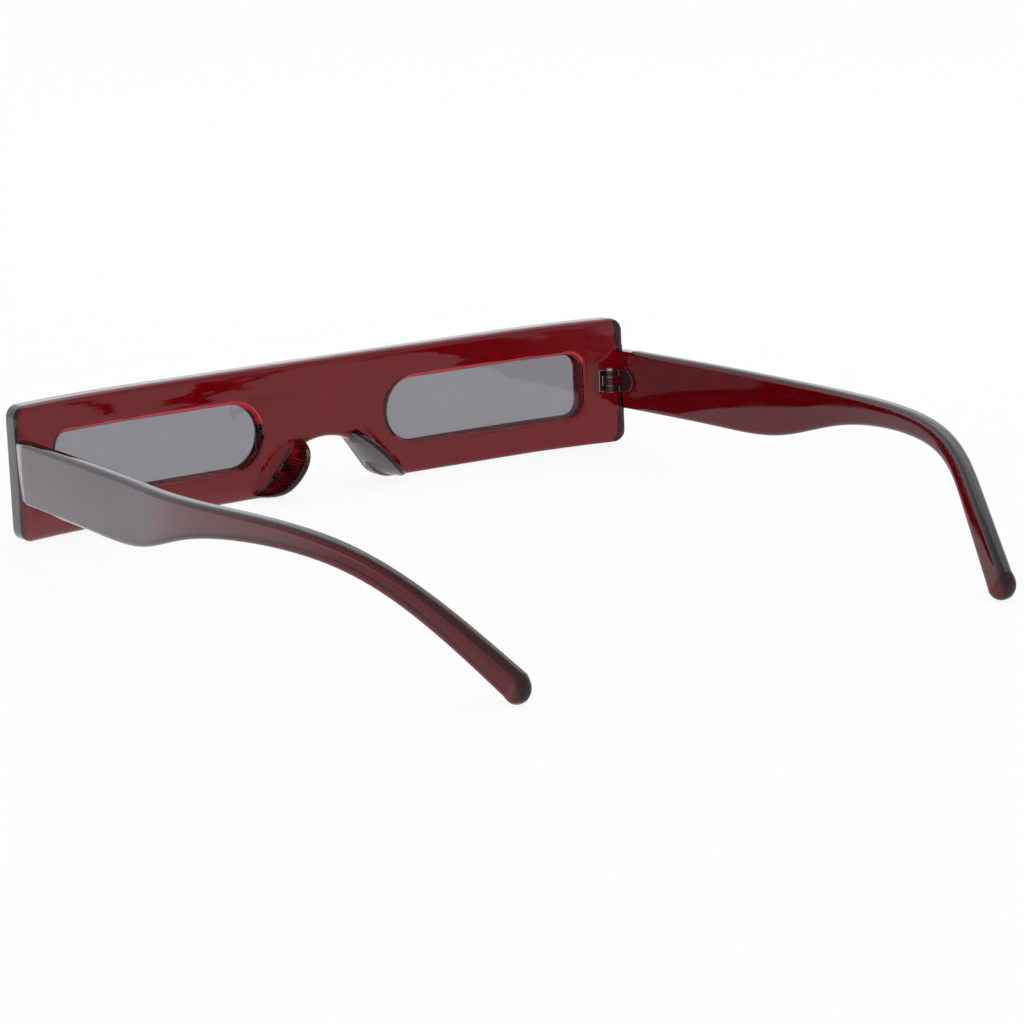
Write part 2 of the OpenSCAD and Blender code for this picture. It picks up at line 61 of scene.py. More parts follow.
# Welding and shading of the copies
WELD = 0.000002  # corners of loose triangles closer than this are one
ONE_FLAT = math.radians(0.5)  # triangles that differ by less make one flat face
PAIR_BEND = math.radians(20.0)  # the most that two triangles joined into one face differ
PAIR_SKEW = math.radians(60.0)  # the most that the corners of such a face differ
LENS_SMOOTHING = math.radians(30.0)
METAL_SMOOTHING = math.radians(35.0)
METAL_CORNER = math.radians(40.0)  # edges sharper than this are worn round, and take the paler colour of wear and painted highlight

# The lip of a lens opening, satin with a painted highlight, found on the front by where its faces are and
# look
LEAN = math.radians(3.89)  # the front leans forward on its lower edge
LIP_REACH = 0.0002  # how far the lip reaches past the box of its lens
LIP_STEEP, LIP_FLAT = 0.3, 0.93  # how far a lip's face looks back: at its steep and its flat end
LIP_DOWN = 0.2  # how far a face of the lip with the painted highlight looks down at least
RIM_FACING = 0.5  # faces of a lens that look along Y by less belong to its rim

# Finishes that have no setting of their own: roughness where clean and where dull, and colours
LIP_ROUGHNESS = (0.25, 0.4)
RIM_ROUGHNESS = (0.45, 0.6)
# Near-black colours of a lens rim: painted shade of the groove it sits in
RIM_SHADED_LIGHT = (0.03, 0.03, 0.033, 1.0)
RIM_SHADED_DARK = (0.015, 0.015, 0.017, 1.0)
RIM_SPECK = (0.1, 0.1, 0.1, 1.0)
WHITE = (1.0, 1.0, 1.0, 1.0)

# How the studio's brightness changes in reflections
TABLE_WAY = (0.6, -0.8, 0.0)  # across the table, from the near side to the far side
TABLE_FADE = (0.03, 0.12)  # where along that way it turns brighter
AIR_WAY = (-0.43, -0.85, -0.3)  # through the air, towards the bright side
AIR_FADE = (-0.5, 0.85)
TABLE_GREY = (0.8, 0.8, 0.8, 1.0)
TABLE_CLEAR = 0.9  # share of the table that the eye sees through


class PlasticSettings(bpy.types.PropertyGroup):
    """Moulded burgundy plastic of the front and the temples"""

    tint: bpy.props.FloatVectorProperty(
        name="Front Tint", description="Colour that light takes on in passing through the front",
        subtype="COLOR", size=3, default=(0.5, 0.02, 0.11), min=0.0, max=1.0)
    depth_density: bpy.props.FloatProperty(
        name="Front Density", description="How fast thick stretches of the front darken, per metre",
        default=840.0, min=0.0, max=3000.0)
    # The temples' darker tint and denser absorption are painted shade: the front's plastic, darkened for
    # the dim surroundings the temples reflect
    temple_tint: bpy.props.FloatVectorProperty(
        name="Temple Tint", description="Colour that light takes on in passing through a temple",
        subtype="COLOR", size=3, default=(0.31, 0.015, 0.075), min=0.0, max=1.0)
    temple_density: bpy.props.FloatProperty(
        name="Temple Density", description="How fast thick stretches of a temple darken, per metre",
        default=1150.0, min=0.0, max=3000.0)
    depth_tint: bpy.props.FloatVectorProperty(
        name="Depth Tint", description="Colour that thick stretches turn towards",
        subtype="COLOR", size=3, default=(0.7, 0.05, 0.08), min=0.0, max=1.0)
    # Painted highlight: the lip's brighter red stands in for light glowing through and off the thin lip
    lip_highlight_color: bpy.props.FloatVectorProperty(
        name="Lip Colour", description="Bright buffed lip round a lens",
        subtype="COLOR", size=3, default=(0.6, 0.02, 0.035), min=0.0, max=1.0)
    clean: bpy.props.FloatProperty(
        name="Clean Roughness", description="Roughness where the polish is clean",
        default=0.04, min=0.0, max=1.0)
    handled: bpy.props.FloatProperty(
        name="Handled Roughness", description="Roughness where the polish is dulled",
        default=0.12, min=0.0, max=1.0)
    ior: bpy.props.FloatProperty(
        name="Refraction", description="Refractive index of the plastic", default=1.49, min=1.0, max=2.5)
    flow: bpy.props.FloatProperty(
        name="Flow Lines", description="Height of the flow lines in the moulded front",
        subtype="DISTANCE", unit="LENGTH", default=0.00014, min=0.0, max=0.0005)
    temple_flow: bpy.props.FloatProperty(
        name="Temple Flow Lines", description="Height of the flow lines in a moulded temple",
        subtype="DISTANCE", unit="LENGTH", default=0.000014, min=0.0, max=0.0005)
    smoothing: bpy.props.FloatProperty(
        name="Smoothing Angle", description="Edges flatter than this are shaded as curves",
        subtype="ANGLE", default=math.radians(30.0), min=0.0, max=math.pi)


class LensSettings(bpy.types.PropertyGroup):
    """Tinted lenses"""

    tint: bpy.props.FloatVectorProperty(
        name="Tint", description="Colour of the light that a lens lets through",
        subtype="COLOR", size=3, default=(0.232, 0.23, 0.25), min=0.0, max=1.0)
    gloss: bpy.props.FloatProperty(
        name="Roughness", description="Roughness of a polished lens", default=0.015, min=0.0, max=1.0)
    smear: bpy.props.FloatProperty(
        name="Smear", description="How much rougher a lens is where it was wiped",
        default=0.02, min=0.0, max=1.0)
    ior: bpy.props.FloatProperty(
        name="Refraction", description="Refractive index of a lens", default=1.59, min=1.0, max=2.5)


class MetalSettings(bpy.types.PropertyGroup):
    """Hinge leaves and screws"""

    leaf_color: bpy.props.FloatVectorProperty(
        name="Leaf Colour", description="Dark coppery metal of the leaves",
        subtype="COLOR", size=3, default=(0.095, 0.052, 0.049), min=0.0, max=1.0)
    screw_color: bpy.props.FloatVectorProperty(
        name="Screw Colour", description="Metal of the screws",
        subtype="COLOR", size=3, default=(0.13, 0.075, 0.07), min=0.0, max=1.0)
    # Worn edges: their pale pink is partly bare metal and partly a painted highlight of the edges
    wear_and_glint_color: bpy.props.FloatVectorProperty(
        name="Worn Colour", description="Pinkish bare metal of the worn edges",
        subtype="COLOR", size=3, default=(0.62, 0.42, 0.41), min=0.0, max=1.0)
    leaf_dull: bpy.props.FloatProperty(
        name="Leaf Roughness", description="Roughness of the leaves", default=0.4, min=0.0, max=1.0)
    screw_dull: bpy.props.FloatProperty(
        name="Screw Roughness", description="Roughness of the screws", default=0.18, min=0.0, max=1.0)
    wear_and_glint_dull: bpy.props.FloatProperty(
        name="Worn Roughness", description="Roughness of the worn edges", default=0.2, min=0.0, max=1.0)
    edge: bpy.props.FloatProperty(
        name="Edge Rounding", description="Width of the worn edges",
        subtype="DISTANCE", unit="LENGTH", default=0.0001, min=0.0, max=0.0005)


class StudioSettings(bpy.types.PropertyGroup):
    """Tabletop, light and camera"""

    eye: bpy.props.FloatVectorProperty(
        name="Camera Place", description="Where the camera stands",
        subtype="TRANSLATION", unit="LENGTH", size=3, default=(0.4113668, 0.5754477, 0.1931342))
    turn: bpy.props.FloatVectorProperty(
        name="Camera Turn", description="How the camera is turned", subtype="EULER", size=3,
        default=(math.radians(75.46259), math.radians(0.14884), math.radians(144.63203)))
    lens: bpy.props.FloatProperty(
        name="Focal Length", description="Focal length in millimetres", default=134.38, min=1.0)
    sensor: bpy.props.FloatProperty(
        name="Sensor Width", description="Width of the sensor in millimetres", default=36.0, min=1.0)
    table: bpy.props.FloatProperty(
        name="Table Radius", description="Radius of the white tabletop",
        subtype="DISTANCE", unit="LENGTH", default=1.6, min=0.3)
    table_drop: bpy.props.FloatProperty(
        name="Table Gap", description="How far the tabletop lies below the glasses",
        subtype="DISTANCE", unit="LENGTH", default=0.00002, min=0.0, max=0.001)
    lamp_place: bpy.props.FloatVectorProperty(
        name="Lamp Place", description="Where the soft lamp hangs; it looks at the glasses",
        subtype="TRANSLATION", unit="LENGTH", size=3, default=(-0.35, -0.3, 0.9))
    lamp_size: bpy.props.FloatVectorProperty(
        name="Lamp Size", description="Width and height of the soft lamp",
        unit="LENGTH", size=2, default=(1.1, 0.8), min=0.01)
    lamp_power: bpy.props.FloatProperty(
        name="Lamp Power", description="Power of the soft lamp in watts", default=2.6, min=0.0)
    back_light: bpy.props.FloatProperty(
        name="Backdrop Strength", description="Brightness of the far side of the table in reflections",
        default=1.7, min=0.0)
    near_light: bpy.props.FloatProperty(
        name="Near Strength", description="Brightness of the near side of the table in reflections",
        default=0.75, min=0.0)
    air: bpy.props.FloatProperty(
        name="Air Share", description="Brightness of the air against the table's, in reflections",
        default=0.8, min=0.0)
    cool: bpy.props.FloatVectorProperty(
        name="Reflection Colour", description="Slightly cool colour of the studio in reflections",
        subtype="COLOR", size=3, default=(0.97, 0.95, 1.0), min=0.0, max=1.0)


class SunglassesSettings(bpy.types.PropertyGroup):
    """All settings of the sunglasses"""

    plastic: bpy.props.PointerProperty(
        type=PlasticSettings, name="Plastic", description="Moulded plastic")
    lenses: bpy.props.PointerProperty(
        type=LensSettings, name="Lenses", description="Tinted lenses")
    metal: bpy.props.PointerProperty(
        type=MetalSettings, name="Metal", description="Hinges and screws")
    studio: bpy.props.PointerProperty(
        type=StudioSettings, name="Studio", description="Table, light and camera")


def settings():
    """The scene's own settings"""
    return bpy.context.scene.sunglasses


# Node groups


def node_group(name, inputs, outputs):
    """An empty shader group with named sockets; inputs are (name, socket type, default)"""
    group = bpy.data.node_groups.new(name, "ShaderNodeTree")
    for label, kind, default in inputs:
        group.interface.new_socket(name=label, in_out="INPUT", socket_type=kind).default_value = default
    for label, kind in outputs:
        group.interface.new_socket(name=label, in_out="OUTPUT", socket_type=kind)
    return group, group.nodes.new("NodeGroupInput"), group.nodes.new("NodeGroupOutput")


def add(tree, kind, sockets=None, **values):
    """A node with some of its properties set, and some of its inputs, by their name or number"""
    node = tree.nodes.new(kind)
    for key, value in values.items():
        setattr(node, key, value)
    for key, value in (sockets or {}).items():
        node.inputs[key].default_value = value
    return node


def blend(tree, factor, first, second):
    """A colour mix of two sockets; returns its result"""
    node = add(tree, "ShaderNodeMix", data_type="RGBA")
    factor_in, first_in, second_in, result = 0, 6, 7, 2  # the mix node's sockets for colours
    tree.links.new(factor, node.inputs[factor_in])
    tree.links.new(first, node.inputs[first_in])
    tree.links.new(second, node.inputs[second_in])
    return node.outputs[result]


def moulded_group():
    """Slow waves and flow lines of a moulded surface, hazy handling marks and a few specks of dust"""
    group, gin, gout = node_group(
        "Moulded Surface",
        [("Clean Roughness", "NodeSocketFloat", 0.03), ("Dull Roughness", "NodeSocketFloat", 0.1),
         ("Wave Scale", "NodeSocketFloat", 90.0), ("Wave Height", "NodeSocketFloat", 0.00002),
         ("Flow Scale", "NodeSocketFloat", 260.0), ("Flow Height", "NodeSocketFloat", 0.00001),
         ("Speck Scale", "NodeSocketFloat", 260.0),
         ("Light", "NodeSocketColor", (0.2, 0.01, 0.02, 1.0)),
         ("Dark", "NodeSocketColor", (0.12, 0.005, 0.01, 1.0)),
         ("Speck Colour", "NodeSocketColor", (0.6, 0.5, 0.5, 1.0))],
        [("Color", "NodeSocketColor"), ("Roughness", "NodeSocketFloat"), ("Normal", "NodeSocketVector")])
    link = group.links.new
    coord = add(group, "ShaderNodeTexCoord")
    waves = add(group, "ShaderNodeTexNoise", {"Detail": 2.0})
    link(coord.outputs["Object"], waves.inputs["Vector"])
    link(gin.outputs["Wave Scale"], waves.inputs["Scale"])

    haze = add(group, "ShaderNodeTexNoise", {"Scale": 45.0, "Detail": 5.0})
    link(coord.outputs["Object"], haze.inputs["Vector"])
    marks = add(group, "ShaderNodeMapRange", {"From Min": 0.35, "From Max": 0.75})
    link(haze.outputs["Fac"], marks.inputs["Value"])
    link(gin.outputs["Clean Roughness"], marks.inputs["To Min"])
    link(gin.outputs["Dull Roughness"], marks.inputs["To Max"])

    speck_size, speck_rarity, speck_roughness = 0.05, 0.93, 0.6
    dots = add(group, "ShaderNodeTexVoronoi")
    link(coord.outputs["Object"], dots.inputs["Vector"])
    link(gin.outputs["Speck Scale"], dots.inputs["Scale"])
    near = add(group, "ShaderNodeMath", {1: speck_size}, operation="LESS_THAN")
    link(dots.outputs["Distance"], near.inputs[0])
    lot = add(group, "ShaderNodeSeparateColor")
    link(dots.outputs["Color"], lot.inputs["Color"])
    rare = add(group, "ShaderNodeMath", {1: speck_rarity}, operation="GREATER_THAN")
    link(lot.outputs["Red"], rare.inputs[0])
    specks = add(group, "ShaderNodeMath", operation="MULTIPLY")
    link(near.outputs[0], specks.inputs[0])
    link(rare.outputs[0], specks.inputs[1])
    dust = add(group, "ShaderNodeMath", {1: speck_roughness}, operation="MULTIPLY")
    link(specks.outputs[0], dust.inputs[0])
    rough = add(group, "ShaderNodeMath", operation="MAXIMUM")
    link(marks.outputs["Result"], rough.inputs[0])
    link(dust.outputs[0], rough.inputs[1])

    stretch = add(group, "ShaderNodeMapping", {"Scale": (0.22, 0.22, 1.0)})  # flow runs level
    link(coord.outputs["Object"], stretch.inputs["Vector"])
    flow = add(group, "ShaderNodeTexNoise", {"Detail": 1.5})
    link(stretch.outputs["Vector"], flow.inputs["Vector"])
    link(gin.outputs["Flow Scale"], flow.inputs["Scale"])
    lines = add(group, "ShaderNodeBump", {"Strength": 1.0})
    link(gin.outputs["Flow Height"], lines.inputs["Distance"])
    link(flow.outputs["Fac"], lines.inputs["Height"])
    swell = add(group, "ShaderNodeBump", {"Strength": 1.0})
    link(gin.outputs["Wave Height"], swell.inputs["Distance"])
    link(waves.outputs["Fac"], swell.inputs["Height"])
    link(lines.outputs["Normal"], swell.inputs["Normal"])

    shade = blend(group, waves.outputs["Fac"], gin.outputs["Dark"], gin.outputs["Light"])
    link(blend(group, specks.outputs[0], shade, gin.outputs["Speck Colour"]), gout.inputs["Color"])
    link(rough.outputs[0], gout.inputs["Roughness"])
    link(swell.outputs["Normal"], gout.inputs["Normal"])


def metal_group():
    """Drawn and tumbled small metal parts: faint lines, and on the sharpest ridges a paler colour that is
    partly bare metal, partly painted highlight
    """
    group, gin, gout = node_group(
        "Tumbled Metal",
        [("Base", "NodeSocketColor", (0.4, 0.3, 0.3, 1.0)),
         # Worn: the ridges' paler colour, partly bare metal and partly painted highlight
         ("Worn", "NodeSocketColor", (0.7, 0.6, 0.58, 1.0)),
         ("Grain Scale", "NodeSocketFloat", 2500.0), ("Roughness", "NodeSocketFloat", 0.3)],
        [("Color", "NodeSocketColor"), ("Roughness", "NodeSocketFloat"), ("Normal", "NodeSocketVector")])
    link = group.links.new
    coord = add(group, "ShaderNodeTexCoord")
    stretch = add(group, "ShaderNodeMapping", {"Scale": (1.0, 0.12, 1.0)})  # drawn along Y
    link(coord.outputs["Object"], stretch.inputs["Vector"])
    grain = add(group, "ShaderNodeTexNoise", {"Detail": 4.0})
    link(stretch.outputs["Vector"], grain.inputs["Vector"])
    link(gin.outputs["Grain Scale"], grain.inputs["Scale"])
    geometry = add(group, "ShaderNodeNewGeometry")
    # paler on sharp ridges: partly wear, partly painted highlight
    worn = add(group, "ShaderNodeMapRange", {"From Min": 0.6, "From Max": 0.75})
    link(geometry.outputs["Pointiness"], worn.inputs["Value"])
    grain_roughness = 0.18
    rough = add(group, "ShaderNodeMath", {1: grain_roughness}, operation="MULTIPLY_ADD")
    link(grain.outputs["Fac"], rough.inputs[0])
    link(gin.outputs["Roughness"], rough.inputs[2])
    bump = add(group, "ShaderNodeBump", {"Strength": 0.5, "Distance": 0.00001})
    link(grain.outputs["Fac"], bump.inputs["Height"])
    link(blend(group, worn.outputs["Result"], gin.outputs["Base"], gin.outputs["Worn"]),
         gout.inputs["Color"])
    link(rough.outputs[0], gout.inputs["Roughness"])
    link(bump.outputs["Normal"], gout.inputs["Normal"])


# Materials


def empty_tree(data):
    """The empty node tree of a new material or world"""
    data.use_nodes = True
    data.node_tree.nodes.clear()
    return data.node_tree


def surfaced_material(name, group, **values):
    """A material whose colour, roughness and normal come from a shared group with its own values"""
    tree = empty_tree(bpy.data.materials.new(name))
    shader = tree.nodes.new("ShaderNodeBsdfPrincipled")
    output = tree.nodes.new("ShaderNodeOutputMaterial")
    tree.links.new(shader.outputs["BSDF"], output.inputs["Surface"])
    surface = tree.nodes.new("ShaderNodeGroup")
    surface.node_tree = bpy.data.node_groups[group]
    for key, value in values.items():
        surface.inputs[key.replace("_", " ")].default_value = value
    for given, taken in (("Color", "Base Color"), ("Roughness", "Roughness"), ("Normal", "Normal")):
        tree.links.new(surface.outputs[given], shader.inputs[taken])
    return tree, shader, output


def rgba(color, scale=1.0):
    """A property colour as four numbers"""
    return (*(min(1.0, c * scale) for c in color), 1.0)


def plastic_material(name, tint, density, flow):
    """Burgundy plastic that light passes through, darker where it is thick"""
    s = settings().plastic
    tree, shader, output = surfaced_material(
        name, "Moulded Surface", Clean_Roughness=s.clean, Dull_Roughness=s.handled,
        Light=rgba(tint, 1.15), Dark=rgba(tint, 0.85), Flow_Height=flow)
    shader.inputs["Transmission Weight"].default_value = 1.0
    shader.inputs["IOR"].default_value = s.ior
    volume = add(tree, "ShaderNodeVolumeAbsorption", {"Color": rgba(s.depth_tint), "Density": density})
    tree.links.new(volume.outputs["Volume"], output.inputs["Volume"])


def lens_material():
    """Neutral grey lens, almost the same tint all over, with a faint wave in its polish"""
    s = settings().lenses
    _, shader, _ = surfaced_material(
        "clear_grey", "Moulded Surface", Clean_Roughness=s.gloss, Dull_Roughness=s.gloss + s.smear,
        Light=rgba(s.tint, 1.02), Dark=rgba(s.tint, 0.98), Wave_Height=0.000004, Wave_Scale=60.0,
        Flow_Height=0.000001)
    shader.inputs["Transmission Weight"].default_value = 1.0
    shader.inputs["IOR"].default_value = s.ior


def lip_highlight_material():
    """Satin lip of a lens opening, with a painted highlight: brighter red than the plastic round it"""
    color = settings().plastic.lip_highlight_color
    clean, dull = LIP_ROUGHNESS
    surfaced_material("lip_painted_highlight", "Moulded Surface", Clean_Roughness=clean, Dull_Roughness=dull,
                      Light=rgba(color, 1.3), Dark=rgba(color, 0.7), Wave_Scale=140.0)


def rim_shade_material():
    """Ground rim of a lens: dull, and painted almost black as the shade of the groove it sits in"""
    clean, dull = RIM_ROUGHNESS
    surfaced_material("ground_rim_painted_shade", "Moulded Surface", Clean_Roughness=clean, Dull_Roughness=dull,
                      Light=RIM_SHADED_LIGHT, Dark=RIM_SHADED_DARK, Wave_Scale=1200.0, Speck_Scale=900.0,
                      Speck_Colour=RIM_SPECK)


def metal_material(name, color, roughness):
    """Small hinge metal with fine drawn lines"""
    _, shader, _ = surfaced_material(
        name, "Tumbled Metal", Base=rgba(color), Worn=rgba(settings().metal.wear_and_glint_color),
        Roughness=roughness)
    shader.inputs["Metallic"].default_value = 1.0


# Pieces


def deselect():
    """Nothing selected, object mode"""
    if bpy.context.object and bpy.context.object.mode != "OBJECT":
        bpy.ops.object.mode_set(mode="OBJECT")
    bpy.ops.object.select_all(action="DESELECT")


def mesh_step(operator, **values):
    """Runs one mesh operator on the whole active piece"""
    bpy.ops.object.mode_set(mode="EDIT")
    bpy.ops.mesh.select_all(action="SELECT")
    operator(**values)
    bpy.ops.object.mode_set(mode="OBJECT")


def dressed_copy(node, name, body, material, angle):
    """A welded, smoothly shaded piece with the shape of a CAD node, which it stands for"""
    deselect()
    piece = bpy.data.objects.new(name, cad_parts[node].data.copy())
    bpy.context.collection.objects.link(piece)
    piece.select_set(True)
    bpy.context.view_layer.objects.active = piece
    mesh_step(bpy.ops.mesh.remove_doubles, threshold=WELD)
    bpy.ops.object.shade_smooth_by_angle(angle=angle)
    piece.data.materials.clear()
    piece.data.materials.append(bpy.data.materials[material])
    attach(piece, body)
    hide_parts(node)
    return piece


def apply_modifier(piece, kind, **values):
    """Adds a modifier to the active piece and applies it"""
    modifier = piece.modifiers.new(kind.title(), kind)
    for key, value in values.items():
        setattr(modifier, key, value)
    bpy.ops.object.modifier_apply(modifier=modifier.name)


def join_flat_faces():
    """Joins the loose triangles of each flat face of the active piece into one face"""
    mesh_step(bpy.ops.mesh.dissolve_limited, angle_limit=ONE_FLAT)


def pair_triangles():
    """Joins pairs of the active piece's triangles, so that curved stretches shade evenly"""
    mesh_step(bpy.ops.mesh.tris_convert_to_quads, face_threshold=PAIR_BEND, shape_threshold=PAIR_SKEW)


def paint_lip_highlight(piece, side):
    """Gives the rounded back lip of one lens opening its satin finish and painted highlight where it faces
    down
    """
    low, high = (Vector(v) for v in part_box(f"{side}_lens"))
    middle, reach = (low + high) / 2, (high - low) / 2
    back = Vector((0.0, math.cos(LEAN), math.sin(LEAN)))
    up = Vector((0.0, -math.sin(LEAN), math.cos(LEAN)))
    for face in piece.data.polygons:
        away = face.center - middle
        height = away.dot(up)
        if abs(away.x) > reach.x + LIP_REACH or abs(height) > reach.z + LIP_REACH:
            continue
        inward = face.normal.dot(up) * height + face.normal.x * away.x < 0.0
        # these lip faces get the satin finish with the painted highlight
        if inward and LIP_STEEP < face.normal.dot(back) < LIP_FLAT and face.normal.dot(up) < -LIP_DOWN:
            face.material_index = 1


def metal_piece(node, body, material):
    """Dresses a small metal node, with worn round edges whose paler colour is partly bare metal, partly
    painted highlight
    """
    piece = dressed_copy(node, f"{node}_metal", body, material, METAL_SMOOTHING)
    join_flat_faces()
    piece.data.materials.append(bpy.data.materials["wear_and_glint_metal"])
    apply_modifier(piece, "BEVEL", width=settings().metal.edge, segments=2, limit_method="ANGLE",
                   angle_limit=METAL_CORNER, harden_normals=True, material=1)


class SUNGLASSES_OT_materials(bpy.types.Operator):
    """Makes the shared surface groups and the materials"""

    bl_idname = "sunglasses.materials"
    bl_label = "Make Materials"

    def execute(self, context):
        moulded_group()
        metal_group()
        plastic, metal = settings().plastic, settings().metal
        plastic_material("clear_burgundy", plastic.tint, plastic.depth_density, plastic.flow)
        # shaded copy of the front's plastic: its darker tint and density are painted shade
        plastic_material("shaded_burgundy", plastic.temple_tint, plastic.temple_density, plastic.temple_flow)
        lens_material()
        rim_shade_material()
        lip_highlight_material()
        metal_material("tumbled_metal", metal.leaf_color, metal.leaf_dull)
        metal_material("plated_metal", metal.screw_color, metal.screw_dull)
        # edge colour: partly bare metal, partly painted highlight
        metal_material("wear_and_glint_metal", metal.wear_and_glint_color, metal.wear_and_glint_dull)
        return {"FINISHED"}


class SUNGLASSES_OT_front(bpy.types.Operator):
    """Dresses the one-piece front with its nose pads and hinge bosses"""

    bl_idname = "sunglasses.front"
    bl_label = "Dress Front"

    def execute(self, context):
        piece = dressed_copy("front_frame", "front_moulding", "front",
                             "clear_burgundy", settings().plastic.smoothing)
        join_flat_faces()
        apply_modifier(piece, "WEIGHTED_NORMAL", keep_sharp=True, weight=80)
        # second slot: the satin lip with its painted highlight
        piece.data.materials.append(bpy.data.materials["lip_painted_highlight"])
        for side in SIDES:
            paint_lip_highlight(piece, side)
        return {"FINISHED"}


class SUNGLASSES_OT_lenses(bpy.types.Operator):
    """Dresses both lenses, with their ground rims"""

    bl_idname = "sunglasses.lenses"
    bl_label = "Dress Lenses"

    def execute(self, context):
        for side in SIDES:
            piece = dressed_copy(f"{side}_lens", f"{side}_lens_glass", "front",
                                 "clear_grey", LENS_SMOOTHING)
            apply_modifier(piece, "WEIGHTED_NORMAL", keep_sharp=True, weight=60)
            # the rim faces get the near-black painted shade of the groove
            piece.data.materials.append(bpy.data.materials["ground_rim_painted_shade"])
            for face in piece.data.polygons:
                face.material_index = 1 if abs(face.normal.y) < RIM_FACING else 0
        return {"FINISHED"}


class SUNGLASSES_OT_temples(bpy.types.Operator):
    """Dresses both temples"""

    bl_idname = "sunglasses.temples"
    bl_label = "Dress Temples"

    def execute(self, context):
        for side in SIDES:
            # the temples take the shaded copy of the plastic, darker by painted shade
            piece = dressed_copy(f"{side}_temple", f"{side}_temple_moulding", f"{side}_arm",
                                 "shaded_burgundy", settings().plastic.smoothing)
            pair_triangles()
            apply_modifier(piece, "WEIGHTED_NORMAL", keep_sharp=True, weight=60)
        return {"FINISHED"}


class SUNGLASSES_OT_hinges(bpy.types.Operator):
    """Dresses the four hinge leaves"""

    bl_idname = "sunglasses.hinges"
    bl_label = "Dress Hinges"

    def execute(self, context):
        for side in SIDES:
            metal_piece(f"{side}_front_hinge_leaf", "front", "tumbled_metal")
            metal_piece(f"{side}_temple_hinge_leaf", f"{side}_arm", "tumbled_metal")
        return {"FINISHED"}


class SUNGLASSES_OT_screws(bpy.types.Operator):
    """Dresses the two hinge screws"""

    bl_idname = "sunglasses.screws"
    bl_label = "Dress Screws"

    def execute(self, context):
        for side in SIDES:
            metal_piece(f"{side}_hinge_screw", f"{side}_arm", "plated_metal")
        return {"FINISHED"}


# Studio


def reflected_only(tree):
    """A mask: 1 for light that comes by a reflection, 0 for light seen straight or through plastic"""
    path = tree.nodes.new("ShaderNodeLightPath")
    mask = add(tree, "ShaderNodeMath", operation="SUBTRACT", use_clamp=True)
    tree.links.new(path.outputs["Is Glossy Ray"], mask.inputs[0])
    tree.links.new(path.outputs["Is Transmission Ray"], mask.inputs[1])
    return mask.outputs[0]


def fade_along(tree, coordinate, way, span, dim, bright):
    """A brightness that rises smoothly from dim to bright over a span along a way; returns its socket"""
    coord = tree.nodes.new("ShaderNodeTexCoord")
    along = add(tree, "ShaderNodeVectorMath", {1: way}, operation="DOT_PRODUCT")
    fade = add(tree, "ShaderNodeMapRange",
               {"From Min": span[0], "From Max": span[1], "To Min": dim, "To Max": bright},
               interpolation_type="SMOOTHSTEP")
    tree.links.new(coord.outputs[coordinate], along.inputs[0])
    tree.links.new(along.outputs["Value"], fade.inputs["Value"])
    return fade.outputs["Result"]


def mix_shaders(tree, factor, first, second):
    """A mix of two shader sockets; returns its result"""
    mix = tree.nodes.new("ShaderNodeMixShader")
    tree.links.new(factor, mix.inputs["Fac"])
    tree.links.new(first, mix.inputs[1])
    tree.links.new(second, mix.inputs[2])
    return mix.outputs["Shader"]


def table_material():
    """White tabletop that shows the white air behind it and the object's faint shadow

    A temple that is folded in this standing pair reaches a little below the table, and still shows.
    """
    s = settings().studio
    material = bpy.data.materials.new("white_sweep")
    tree = empty_tree(material)
    matte = add(tree, "ShaderNodeBsdfDiffuse", {"Color": TABLE_GREY})
    clear = add(tree, "ShaderNodeBsdfTransparent")
    mirrored = add(tree, "ShaderNodeEmission", {"Color": rgba(s.cool)})
    tree.links.new(fade_along(tree, "Object", TABLE_WAY, TABLE_FADE, s.near_light, s.back_light),
                   mirrored.inputs["Strength"])
    path = tree.nodes.new("ShaderNodeLightPath")
    seen = add(tree, "ShaderNodeMath", operation="MAXIMUM")
    tree.links.new(path.outputs["Is Camera Ray"], seen.inputs[0])
    tree.links.new(path.outputs["Is Transmission Ray"], seen.inputs[1])
    share = add(tree, "ShaderNodeMath", {1: TABLE_CLEAR}, operation="MULTIPLY")
    tree.links.new(seen.outputs[0], share.inputs[0])
    plain = mix_shaders(tree, share.outputs[0], matte.outputs["BSDF"], clear.outputs["BSDF"])
    whole = mix_shaders(tree, reflected_only(tree), plain, mirrored.outputs["Emission"])
    tree.links.new(whole, tree.nodes.new("ShaderNodeOutputMaterial").inputs["Surface"])
    return material


def studio_world():
    """White to the eye; in reflections bright behind the object and dim on the camera's side"""
    s = settings().studio
    world = bpy.data.worlds.new("studio")
    bpy.context.scene.world = world
    tree = empty_tree(world)
    white = add(tree, "ShaderNodeBackground", {"Color": WHITE})
    air = add(tree, "ShaderNodeBackground", {"Color": rgba(s.cool)})
    tree.links.new(
        fade_along(tree, "Generated", AIR_WAY, AIR_FADE, s.near_light * s.air, s.back_light * s.air),
        air.inputs["Strength"])
    whole = mix_shaders(tree, reflected_only(tree), white.outputs["Background"], air.outputs["Background"])
    tree.links.new(whole, tree.nodes.new("ShaderNodeOutputWorld").inputs["Surface"])


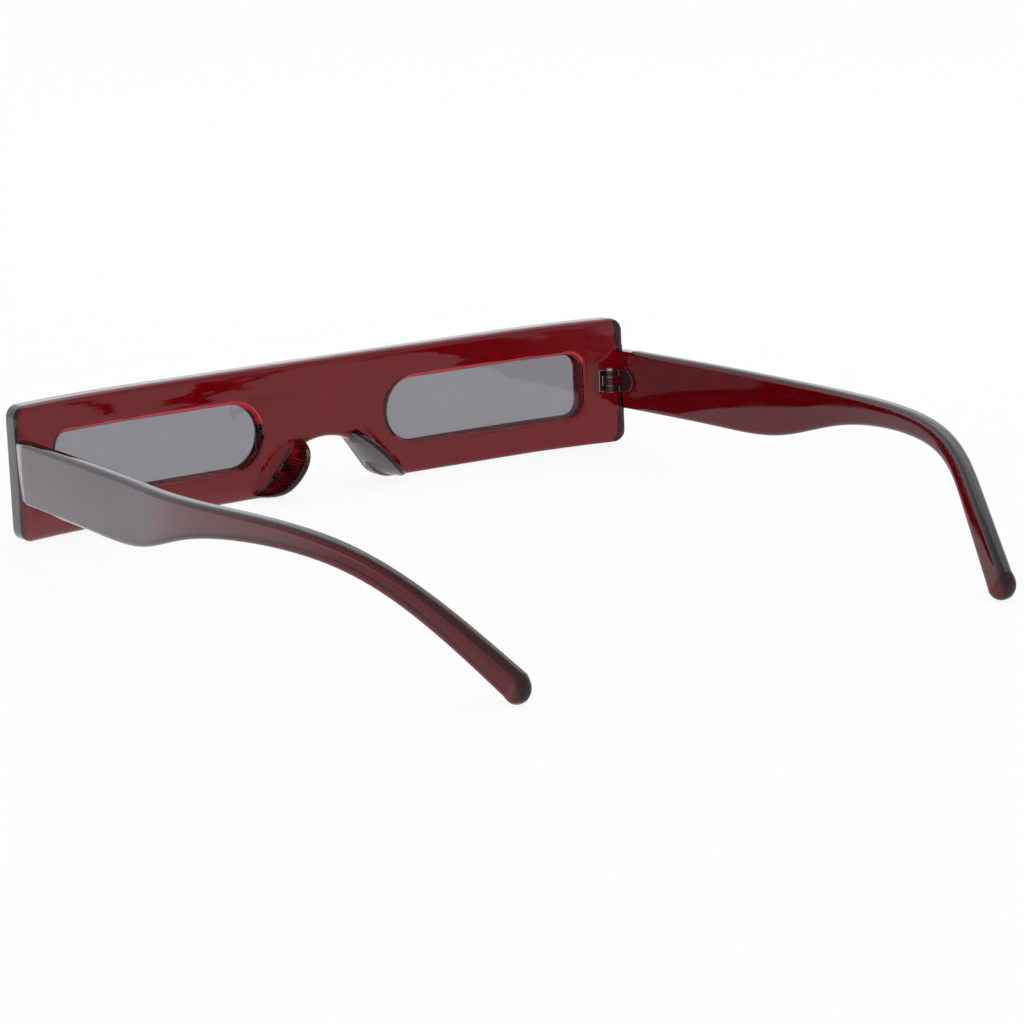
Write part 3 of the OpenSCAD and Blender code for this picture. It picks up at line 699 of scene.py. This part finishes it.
class SUNGLASSES_OT_studio(bpy.types.Operator):
    """Sets the white table, the soft lamp and the camera"""

    bl_idname = "sunglasses.studio"
    bl_label = "Set Studio"

    def execute(self, context):
        s = settings().studio
        deselect()
        bpy.ops.mesh.primitive_circle_add(vertices=96, radius=s.table, fill_type="NGON",
                                          location=(0.0, 0.0, -s.table_drop))
        floor = context.object
        floor.name = "white_sweep"
        floor.data.materials.append(table_material())
        studio_world()

        deselect()
        bpy.ops.object.light_add(type="AREA", location=s.lamp_place)
        lamp = context.object
        lamp.data.shape = "RECTANGLE"
        lamp.data.size, lamp.data.size_y = s.lamp_size
        lamp.data.energy = s.lamp_power
        lamp.rotation_euler = (-lamp.location).to_track_quat("-Z", "Y").to_euler()

        camera_data = bpy.data.cameras.new("product_camera")
        camera_data.sensor_width = s.sensor
        camera_data.lens = s.lens
        camera_data.clip_start, camera_data.clip_end = 0.01, 20.0
        camera = bpy.data.objects.new("product_camera", camera_data)
        context.collection.objects.link(camera)
        camera.location = s.eye
        camera.rotation_euler = Euler(s.turn, "XYZ")
        context.scene.camera = camera
        context.scene.view_settings.view_transform = "Standard"
        return {"FINISHED"}


class SUNGLASSES_PT_panel(bpy.types.Panel):
    """Lists the steps and the settings"""

    bl_label = "Sunglasses"
    bl_idname = "SUNGLASSES_PT_panel"
    bl_space_type = "VIEW_3D"
    bl_region_type = "UI"
    bl_category = "Sunglasses"

    def draw(self, context):
        for step in STEPS:
            self.layout.operator(f"sunglasses.{step}")
        for group in ("plastic", "lenses", "metal", "studio"):
            box = self.layout.box()
            box.label(text=group.title())
            values = getattr(context.scene.sunglasses, group)
            for key in values.bl_rna.properties.keys():
                if key not in ("rna_type", "name"):
                    box.prop(values, key)


CLASSES = (
    PlasticSettings, LensSettings, MetalSettings, StudioSettings, SunglassesSettings,
    SUNGLASSES_OT_materials, SUNGLASSES_OT_front, SUNGLASSES_OT_lenses, SUNGLASSES_OT_temples,
    SUNGLASSES_OT_hinges, SUNGLASSES_OT_screws, SUNGLASSES_OT_studio, SUNGLASSES_PT_panel)


def register():
    """Registers the classes and the scene's settings"""
    for cls in CLASSES:
        bpy.utils.register_class(cls)
    bpy.types.Scene.sunglasses = bpy.props.PointerProperty(
        type=SunglassesSettings, name="Sunglasses", description="Settings of the sunglasses")


def unregister():
    """Removes what register added"""
    del bpy.types.Scene.sunglasses
    for cls in reversed(CLASSES):
        bpy.utils.unregister_class(cls)


def main():
    """Makes every piece in order"""
    register()
    for step in STEPS:
        getattr(bpy.ops.sunglasses, step)()


if __name__ == "__main__":
    main()
